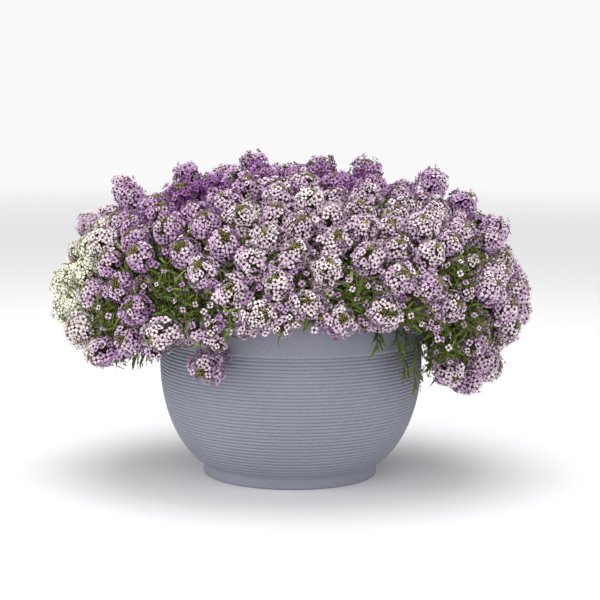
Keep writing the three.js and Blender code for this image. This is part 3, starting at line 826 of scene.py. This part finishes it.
def shoots_of(cluster, plant, heads, rank):
    """Leafy shoots that fill the canopy between the heads. They hang where it hangs over."""
    at, reach = places_of(heads), reach_of(heads)
    places = mound_places(rank.share)
    for i, (place, out) in enumerate(zip(places, outward_at(places))):
        tip = place - out * random.uniform(*rank.depth)
        kind, lean, turn = random.random(), random.normal(0, 0.3, 3), random.uniform(0, 6)
        gaps = gaps_to(tip, at) - reach
        if owner_of(tip) is not plant or gaps.min() < rank.room or not clear_of_bowl(tip, 4):
            continue
        rise = min(max((place[2] - RIM_HEIGHT - 5) / 40, -1.1), 0.7)
        way = unit(out + rise * UP + lean)
        line = tip - way * np.linspace(rank.length, 0, 4)[:, None]
        line[:, 2] -= np.linspace(4, 0, 4) ** 2 * 0.3
        if not clear_of_bowl(line).all():
            continue
        cluster.tube(line, [0.2, 0.8, 0.7, 0.4], sides=3, row=rows_in(LEAF_ROWS, 0.5))
        open_gap = gap_from_gone_over(tip)
        length = rank.leaf_length * random.uniform(0.8, 1.2)
        length *= LONG_LEAF if open_gap < LONG_LEAF_REACH else 1
        leafy(cluster, line, heads, rank.length / rank.leaves, 0.25, length, 0.8, rank.shape)
        if kind < rank.young and gaps.min() > 5 and open_gap > OPEN_REACH:
            radius = min(YOUNG_RADIUS, gaps.min() + 1)
            young = Head(FIRST_YOUNG + i, tip, way, 1.0, radius, tip)
            florets_on(cluster, young, plant, count=14, size=0.85, opening=0.4)
            buds_on(cluster, young, count=8, size=0.8, opening=0.4)
            core_of(cluster, young)
        elif kind > 1 - rank.seeded:
            pods_on(cluster, tip, way, turn, count=9, length=12)


def loose_florets(cluster, plant, heads, places):
    """Single florets of side shoots that fill the gaps between a plant's heads."""
    outward = outward_at(places)
    count = len(places)
    spread = random.normal(0, 2.5, (count, 3))
    centres = places + spread - outward * random.uniform(-4, 11, count)[:, None]
    keep = np.array([owner_of(place) is plant for place in centres])
    keep &= clear_of_bowl(centres, 4) & (random.random(count) < plant.fill)
    keep &= gap_from_gone_over(centres) > OPEN_REACH
    keep &= clear_of(centres, places_of(heads), [0.85 * head.radius for head in heads])
    facing = unit(outward + 0.5 * UP + random.normal(0, 0.3, (count, 3)))
    scale = random.uniform(0.75, 1.0, count)[:, None, None]
    frames = (frames_on(facing, random.uniform(0, 6, count)) * scale)[keep]
    shade = shade_at(plant, centres, random.uniform(0.1, 1, count))[keep]
    centres = centres[keep]
    cluster.florets(plant, centres, frames, shade)
    roots = centres - 9 * facing[keep] + random.normal(0, 1.5, centres.shape)
    cluster.threads(roots, centres, FLORET_STALK, shades=0.6)


def foliage_of(plant, sprays, heads):
    cluster = Cluster()
    loose_florets(cluster, plant, heads, mound_places(share=48))
    start = np.array([plant.x * CROWN_REACH, plant.y * CROWN_REACH, SOIL_TOP - 8])
    crown = [start, start + 10 * UP, start + 22 * UP]
    cluster.tube(crown, [3.4, 3.6, 2.4], sides=8, row=rows_in(LEAF_ROWS, 0.1))
    for spray in sprays:
        if spray.plant is not plant:
            continue
        line = smooth_way([*spray.way, spray.meeting])
        cluster.stem(line, 1.9, 1.25, sides=5, shade=0.3)
        leafy(cluster, line, heads, spacing=5.5, start=0.35, length=23)
        for head in spray.heads:
            way = np.linspace(head.meeting, head.at, 6)[:5]
            leafy(cluster, way, heads, spacing=7, start=0.1, length=19)
    for rank in RANKS:
        shoots_of(cluster, plant, heads, rank)
    return cluster


def hanging_stems(foliage, heads):
    """The stems that hang free, each added to the plant that it grows from."""
    for way in HANGING:
        line = smooth_way(np.array(way, dtype=float))
        cluster = foliage[owner_of(line[0]).name]
        cluster.stem(line, 1.25, 0.6, sides=4, shade=0.25)
        pods_on(cluster, line[-1], unit(line[-1] - line[-3]), turn=len(way), count=12, length=16)
        roots = line[2:-3:2]
        count = len(roots)
        ahead = unit(line[3:-2:2] - line[1:-4:2])
        outward = unit(roots * [1, 1, 0])
        swing = random.uniform(0.25, 0.8, count) * (-1) ** np.arange(count)
        aside = np.cross(ahead, outward) * swing[:, None]
        ways = unit(ahead + aside + 0.3 * outward)
        lengths = random.uniform(13, 23, count)
        widths = 1.6 + lengths * random.uniform(0.09, 0.14, count)
        facing = unit(outward + random.normal(0, 0.3, (count, 3)))
        shades = random.uniform(0.0, 0.5, count)
        leaves_on(cluster, LEAF, roots, ways, facing, lengths, widths, shades, heads)


# ---- The bowl and its soil ----

def turned(profile, sides):
    """A closed turned body from a profile of (radius, height) pairs, as points and faces."""
    angles = corner_angles(sides)
    rings, points = [], []
    for radius, height in profile:
        if radius < 1e-6:
            rings.append([len(points)] * sides)
            points.append((0, 0, height))
        else:
            rings.append(list(range(len(points), len(points) + sides)))
            points += [(radius * math.cos(a), radius * math.sin(a), height) for a in angles]
    faces = []
    for lower, upper in zip(rings, rings[1:]):
        for k in range(sides):
            corners = [lower[k], lower[(k + 1) % sides], upper[(k + 1) % sides], upper[k]]
            corners = list(dict.fromkeys(corners))
            if len(corners) > 2:
                faces.append(corners)
    return points, faces


def solid(name, points, faces, finish):
    mesh = bpy.data.meshes.new(name)
    mesh.from_pydata([tuple(c * MM for c in point) for point in points], [], faces)
    mesh.validate()
    mesh.shade_smooth()
    mesh.materials.append(finish)
    return in_scene(name, mesh)


def bowl_profile():
    """From the middle of the foot up the outside, over the rim and down the inside."""
    points = [(0, 0), (26, 0), (28, 1.2), (29, 2.5), (FOOT_RADIUS - 14, 2.5),
              (FOOT_RADIUS - 12.5, 1.2), (FOOT_RADIUS - 11, 0), (FOOT_RADIUS - 1.2, 0),
              (FOOT_RADIUS - 0.3, 0.5), (FOOT_RADIUS, 1.6), (FOOT_RADIUS, FOOT_HEIGHT - 0.8),
              (FOOT_RADIUS + 0.3, FOOT_HEIGHT + 0.4)]
    for rib in range(RIB_COUNT):
        groove = RIB_FOOT + rib * RIB_PITCH
        for share, depth in ((0, 1), (0.12, 0.7), (0.28, 0.1), (0.6, 0), (0.86, 0.45)):
            height = groove + share * RIB_PITCH
            points.append((float(side_radius(height)) - depth * GROOVE_DEPTH, height))
    collar = COLLAR_RADIUS
    points += [(collar - 2.6, COLLAR_FOOT - 0.4), (collar - 2.4, COLLAR_FOOT + 0.2),
               (collar - 0.9, COLLAR_FOOT + 0.7), (collar + 0.1, COLLAR_FOOT + 1.6),
               (collar + 0.25, COLLAR_FOOT + 2.6), (collar - 0.1, COLLAR_FOOT + 4),
               (collar - 0.3, COLLAR_FOOT + 14), (collar - 0.4, RIM_HEIGHT - 5.4),
               (collar - 0.7, RIM_HEIGHT - 2.2), (collar - 1.6, RIM_HEIGHT - 0.6),
               (collar - 2.8, RIM_HEIGHT)]
    inner = float(inner_radius(COLLAR_FOOT))
    points += [(inner + 1.2, RIM_HEIGHT), (inner + 0.4, RIM_HEIGHT - 0.6), (inner, RIM_HEIGHT - 2.4)]
    levels = [150, 140, *np.linspace(130, 14, 24)]
    points += [(float(inner_radius(level)) if level < 131 else inner, level) for level in levels]
    points += [(FOOT_RADIUS - 12, FLOOR), (40, FLOOR), (0, FLOOR)]
    return points


def bowl_piece(finish):
    points, faces = turned(bowl_profile(), BOWL_SIDES)
    made = solid("ribbed_bowl", points, faces, finish)
    for k in range(DRAIN_HOLES):
        angle = (k + 0.5) * 2 * math.pi / DRAIN_HOLES
        post = [(0, -8), (DRAIN_RADIUS, -8), (DRAIN_RADIUS, 14), (0, 14)]
        cutter = solid("drain_cutter", *turned(post, DRAIN_SIDES), finish)
        reach = DRAIN_CIRCLE * MM
        cutter.location = (reach * math.cos(angle), reach * math.sin(angle), 0)
        cut = made.modifiers.new("drain", "BOOLEAN")
        cut.object, cut.operation, cut.solver = cutter, "DIFFERENCE", "EXACT"
        bpy.context.view_layer.update()
        drilled = made.evaluated_get(bpy.context.evaluated_depsgraph_get())
        mesh = bpy.data.meshes.new_from_object(drilled)
        made.modifiers.clear()
        made.data = mesh
        bpy.data.objects.remove(cutter)
    made.data.name = "ribbed_bowl"
    return made


def soil_piece(finish):
    """Potting mix that fills the bowl, with a crumbly top."""
    profile = [(0, FLOOR + CLEARANCE), (FOOT_RADIUS - 12.5, FLOOR + CLEARANCE)]
    profile += [(float(inner_radius(h)) - CLEARANCE, h) for h in [*INNER_LEVELS, SOIL_TOP - 5]]
    rings = [113, *np.linspace(110, 2, SOIL_RINGS), 0]
    profile += [(radius, SOIL_TOP) for radius in rings]
    points, faces = turned(profile, SOIL_SIDES)
    points = np.array(points, dtype=float)
    top = points[:, 2] > SOIL_TOP - 1
    x, y = points[top, 0], points[top, 1]
    lump = np.sin(x * 0.13 + 1) * np.cos(y * 0.11) + np.sin(x * 0.05 - y * 0.24)
    points[top, 2] += 1.6 * lump + random.normal(0, 0.7, top.sum())
    return solid("potting_mix", points, faces, finish)


# ---- Finishes ----

def paint(code):
    """The linear colour of a hex code."""
    parts = [int(code[i:i + 2], 16) / 255 for i in (0, 2, 4)]
    linear = [c / 12.92 if c < 0.04045 else ((c + 0.055) / 1.055) ** 2.4 for c in parts]
    return (*linear, 1.0)


def arithmetic(operation, reflected=False):
    """An operator that adds a Math node. Reflected, its other term comes first."""
    def operator(self, other):
        return self.math(operation, *((other, self) if reflected else (self, other)))
    return operator


class Wire:
    """A socket of a finish or of the surroundings. Arithmetic on it adds Math nodes."""

    def __init__(self, nodes, socket):
        self.nodes, self.socket = nodes, socket

    def math(self, operation, *terms, **settings):
        inputs = dict(enumerate(terms))
        return self.nodes.add("ShaderNodeMath", {"operation": operation, **settings}, inputs)

    __add__, __radd__ = arithmetic("ADD"), arithmetic("ADD", True)
    __sub__, __rsub__ = arithmetic("SUBTRACT"), arithmetic("SUBTRACT", True)
    __mul__, __rmul__ = arithmetic("MULTIPLY"), arithmetic("MULTIPLY", True)
    __truediv__, __rtruediv__ = arithmetic("DIVIDE"), arithmetic("DIVIDE", True)
    __pow__, __rpow__ = arithmetic("POWER"), arithmetic("POWER", True)
    __gt__, __lt__ = arithmetic("GREATER_THAN"), arithmetic("LESS_THAN")

    def floor(self):
        return self.math("FLOOR", self)

    def fraction(self):
        return self.math("FRACT", self)

    def absolute(self):
        return self.math("ABSOLUTE", self)

    def sine(self):
        return self.math("SINE", self)

    def clipped(self):
        return self.math("ADD", self, 0.0, use_clamp=True)


class Nodes:
    """The nodes that a shader's sockets are worked out with, in a finish or the surroundings."""

    def __init__(self, owner, shader):
        owner.use_nodes = True
        self.tree = owner.node_tree
        self.shader = self.tree.nodes[shader]

    def feed(self, name, value, node=None):
        """Gives a socket a wire, a number or a colour's hex code."""
        socket = (node or self.shader).inputs[name]
        if isinstance(value, Wire):
            self.tree.links.new(value.socket, socket)
        else:
            socket.default_value = paint(value) if isinstance(value, str) else value

    def add(self, kind, settings=None, inputs=None, output=0):
        """A node of any kind: settings first, then its sockets' values or wires."""
        node = self.tree.nodes.new(kind)
        for name, value in (settings or {}).items():
            if name == "stops":
                while len(node.color_ramp.elements) < len(value):
                    node.color_ramp.elements.new(0.5)
                for element, (place, colour) in zip(node.color_ramp.elements, value):
                    element.position, element.color = place, paint(colour)
            else:
                setattr(node, name, value)
        for name, value in (inputs or {}).items():
            self.feed(name, value, node)
        return Wire(self, node.outputs[output])


class Finish(Nodes):
    """A material, and the colours, grain and relief of its surface."""

    def __init__(self, name, roughness, **constants):
        self.material = bpy.data.materials.new(name)
        super().__init__(self.material, "Principled BSDF")
        self.feed("Roughness", roughness)
        for socket, value in constants.items():
            self.feed(socket.replace("_", " "), value)

    def mix(self, share, first, second, blend="MIX"):
        settings = {"data_type": "RGBA", "blend_type": blend}
        return self.add("ShaderNodeMix", settings, {0: share, 6: first, 7: second}, 2)

    def ramp(self, share, stops):
        return self.add("ShaderNodeValToRGB", {"stops": stops}, {"Fac": share})

    def noise(self, places, scale, detail=3.0):
        inputs = {"Vector": places, "Scale": scale, "Detail": detail}
        return self.add("ShaderNodeTexNoise", {}, inputs)

    def bump(self, height, strength, distance):
        inputs = {"Height": height, "Strength": strength, "Distance": distance}
        self.feed("Normal", self.add("ShaderNodeBump", {}, inputs))

    def in_map(self, rows):
        """How far along, across and down the shades of its rows a spot is in the colour map."""
        spot = self.add("ShaderNodeUVMap", {"uv_map": COLOUR_MAP})
        along = self.add("ShaderNodeSeparateXYZ", {}, {0: spot})
        row = self.add("ShaderNodeSeparateXYZ", {}, {0: spot}, 1) * float(ROWS)
        shade = (row.floor() - float(rows[0])) / float(max(rows[1] - 1, 1))
        return along, row.fraction(), shade.clipped(), spot

    def in_space(self):
        return self.add("ShaderNodeTexCoord", output=3)


def petal_finish(name, stops, edge, throat):
    """Soft matte petals: shades from pale to deep, a tinted edge and a light throat."""
    finish = Finish(name, 0.62, Specular_IOR_Level=0.3)
    along, across, shade, _ = finish.in_map(PETAL_ROWS)
    side = (across * 2.0 - 1.0).absolute()
    body = finish.ramp(shade, stops)
    rim = ((along * 1.3 - 0.55) + side * side * 0.35).clipped()
    body = finish.mix(rim * 0.55, body, edge, "MULTIPLY")
    body = finish.mix((0.5 - along).clipped() * 0.9, body, throat)
    veins = ((side * 9.0 + along * 2.0) * 3.0).sine() * 0.5 + 0.5
    body = finish.mix(veins * 0.12, body, edge, "MULTIPLY")
    finish.feed("Base Color", body)
    finish.bump(veins, 0.25, 0.0002)
    return finish.material


def green_finish():
    """Grey-green leaves and stems, with a paler rib and yellower tips."""
    finish = Finish("leaf_green", 0.58, Specular_IOR_Level=0.35)
    along, across, shade, spot = finish.in_map(LEAF_ROWS)
    side = (across * 2.0 - 1.0).absolute()
    stops = [(0, "2f3d1a"), (0.35, "4a5d24"), (0.65, "6c8035"), (1, "a0b056")]
    body = finish.ramp(shade, stops)
    rib = (1.0 - side * 7.0).clipped()
    body = finish.mix(rib * 0.35, body, "a9b56a")
    body = finish.mix(along * 0.3, body, "7f9137")
    blotch = finish.noise(spot, 60.0)
    body = finish.mix(blotch * 0.35, body, "5a6a3a", "MULTIPLY")
    finish.feed("Base Color", body)
    finish.bump(blotch + rib * 0.5, 0.3, 0.0004)
    return finish.material


def small_finish(name, rows, stops, tip, roughness=0.6):
    """Buds, pods and eyes: two shades, changing towards the tip, lightly mottled."""
    finish = Finish(name, roughness, Specular_IOR_Level=0.3)
    along, _, shade, spot = finish.in_map(rows)
    body = finish.ramp(shade, stops)
    body = finish.mix(along ** 2.0 * 0.8, body, tip)
    mottle = finish.noise(spot, 90.0)
    finish.feed("Base Color", finish.mix(mottle * 0.4, body, stops[0][1], "MULTIPLY"))
    finish.bump(mottle, 0.2, 0.0003)
    return finish.material


def bowl_finish():
    """Matte blue-grey plastic, finely speckled, with painted shade darkening its grooves."""
    finish = Finish("bowl_blue_grey", 0.6, Specular_IOR_Level=0.35)
    places = finish.in_space()
    cloud = finish.noise(places, 14.0, 4.0)
    speckle = finish.noise(places, 900.0, 2.0)
    body = finish.mix(cloud, "898c98", "989aa8")
    light = ((speckle - 0.58) * 6.0).clipped()
    dark = ((0.42 - speckle) * 6.0).clipped()
    body = finish.mix(light * 0.4, body, "bdbec6")
    body = finish.mix(dark * 0.4, body, "62646f")
    height = finish.add("ShaderNodeSeparateXYZ", {}, {0: places}, 2) * (1 / MM)
    # Painted shade: a darker line along each groove between the ribs, in the ribbed band only.
    rib = (height - RIB_FOOT) / RIB_PITCH
    ribbed = (rib > 0.0) * (COLLAR_FOOT - height).clipped()
    groove = ((rib.fraction() - 0.5).absolute() * 5.0 - 1.6).clipped() * ribbed
    body = finish.mix(groove * 0.5, body, "5b5d69")
    finish.feed("Base Color", body)
    finish.feed("Roughness", cloud * 0.12 + 0.54)
    finish.bump(speckle, 0.15, 0.0003)
    return finish.material


def soil_finish():
    finish = Finish("potting_mix", 0.95, Specular_IOR_Level=0.15)
    places = finish.in_space()
    crumb = finish.noise(places, 260.0, 6.0)
    bark = finish.noise(places, 90.0, 2.0)
    body = finish.mix(crumb, "1d140d", "4a3626")
    body = finish.mix(((bark - 0.6) * 8.0).clipped() * 0.6, body, "6b4c33")
    finish.feed("Base Color", body)
    finish.bump(crumb, 0.9, 0.003)
    return finish.material


LILAC_STOPS = [(0, "fef6f5"), (0.3, "f0dae9"), (0.55, "d5aed8"), (0.8, "b27dbd"), (1, "8f4da0")]
PETALS = {
    "purple_flowers": petal_finish(
        "petal_purple", [(0, "e2c6e0"), (0.45, "c08fc6"), (0.75, "a25fac"), (1, "843f92")],
        "b784bb", "d9b4dc"),
    "white_flowers": petal_finish(
        "petal_white", [(0, "fdfbf0"), (0.5, "f1eeda"), (0.7, "d5b4d6"), (1, "a06fae")],
        "e9e7d2", "f0efd0"),
    "lilac_flowers": petal_finish("petal_lilac", LILAC_STOPS, "cda3cf", "f3e2ee"),
    "pink_white_flowers": petal_finish("petal_pink_white", LILAC_STOPS, "d6b4d2", "fdf6f6"),
    "pale_lilac_flowers": petal_finish("petal_pale_lilac", LILAC_STOPS, "cfabd0", "f7ebf2"),
}
GREEN = green_finish()
BUDS = small_finish("bud_olive", BUD_ROWS, [(0, "6a652c"), (0.5, "8f8e3e"), (1, "7c5560")], "b4b45c")
EYES = small_finish(
    "eye_dark", EYE_ROWS, [(0, "2e1526"), (0.5, "4a2a35"), (1, "74773c")], "55522a", 0.7)
WHITE_EYES = small_finish("eye_green", EYE_ROWS, [(0, "7c8340"), (1, "a3a560")], "8f9a44", 0.7)
PODS = small_finish("pod_green", POD_ROWS, [(0, "66702f"), (1, "7a5a58")], "8a9148")
# Painted shade: the heads' cores are near-black, darker than the green stalks that they stand for.
CORE_IN_PAINTED_SHADE = small_finish("head_core_painted_shade", CORE_ROWS, [(0, "2f2c19"), (1, "3b2e2b")], "46422a", 0.9)


def finishes_for(plant):
    eyes = WHITE_EYES if plant.name == "white" else EYES
    return {"petal": PETALS[plant.slot], "green": GREEN, "bud": BUDS, "eye": eyes,
            "pod": PODS, "core": CORE_IN_PAINTED_SHADE}


# ---- The whole planter ----

def ready(piece, slot, *nodes):
    """Puts a piece in the place of its nodes."""
    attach(piece, "root")
    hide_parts(*nodes)


sprays = lay_sprays()
heads = [head for spray in sprays for head in spray.heads]
for spray in sprays:
    name = spray.name.replace("spray", "flowers")
    flowers = flowers_of(spray, heads).make(name, finishes_for(spray.plant))
    ready(flowers, spray.plant.slot, spray.name)
foliage = {plant.name: foliage_of(plant, sprays, heads) for plant in PLANTS}
hanging_stems(foliage, heads)
for plant in PLANTS:
    leaves = foliage[plant.name].make(f"{plant.name}_foliage", finishes_for(plant))
    ready(leaves, "green", f"{plant.name}_stems")
ready(bowl_piece(bowl_finish()), "pot", "pot")
ready(soil_piece(soil_finish()), "soil", "soil")

# ---- Floor, light and camera ----

FLOOR_REACH, FADE_START, FADE_LENGTH = 4.0, 1.2, 2.6
BACKDROP, FILL = 0.95, 0.46


def floor_finish():
    """Pale paper that fades into the white surroundings."""
    finish = Finish("pale_floor", 0.7, Specular_IOR_Level=0.2)
    places = finish.in_space()
    distance = finish.add("ShaderNodeVectorMath", {"operation": "LENGTH"}, {0: places}, 1)
    finish.feed("Base Color", finish.mix(finish.noise(places, 3.0) * 0.2, "f4f4f5", "eeeef0"))
    finish.feed("Alpha", (1.0 - (distance - FADE_START) / FADE_LENGTH).clipped())
    return finish.material


bpy.ops.mesh.primitive_circle_add(
    vertices=96, radius=FLOOR_REACH, fill_type="NGON", location=(0, 0, -0.0002))
floor = bpy.context.object
floor.name = "floor"
floor.data.materials.append(floor_finish())

world = bpy.data.worlds.new("studio")
paper = Nodes(world, "Background")
paper.feed("Color", "ffffff")
# The white paper behind is brighter than the light that it gives.
seen = paper.add("ShaderNodeLightPath", output="Is Camera Ray")
paper.feed("Strength", seen * (BACKDROP - FILL) + FILL)
bpy.context.scene.world = world
bpy.context.scene.view_settings.view_transform = "Standard"


def softbox(name, place, target, size, watts):
    light = bpy.data.lights.new(name, "AREA")
    light.size, light.energy = size, watts
    made = in_scene(name, light)
    made.location = place
    made.rotation_euler = (Vector(target) - Vector(place)).to_track_quat("-Z", "Y").to_euler()


softbox("overhead", (0.0, 0.3, 2.2), (0, 0, 0.1), size=2.1, watts=38)
softbox("front", (-0.15, -2.0, 1.6), (0, 0, 0.15), size=2.4, watts=27)
softbox("left", (-2.2, -0.7, 0.9), (0, 0, 0.15), size=1.4, watts=17)
softbox("right", (2.2, -0.7, 0.9), (0, 0, 0.15), size=1.4, watts=8)

CAMERA_PLACE, LOOKS_DOWN, ROLL = (0.0082, -1.824, 0.413), 7.64, 0.56
lens = bpy.data.cameras.new("camera")
lens.lens, lens.sensor_width = 114, 36
camera = in_scene("camera", lens)
camera.location = CAMERA_PLACE
camera.rotation_euler = (math.radians(90 - LOOKS_DOWN), 0, 0)
camera.rotation_euler.rotate_axis("Z", math.radians(ROLL))
bpy.context.scene.camera = camera
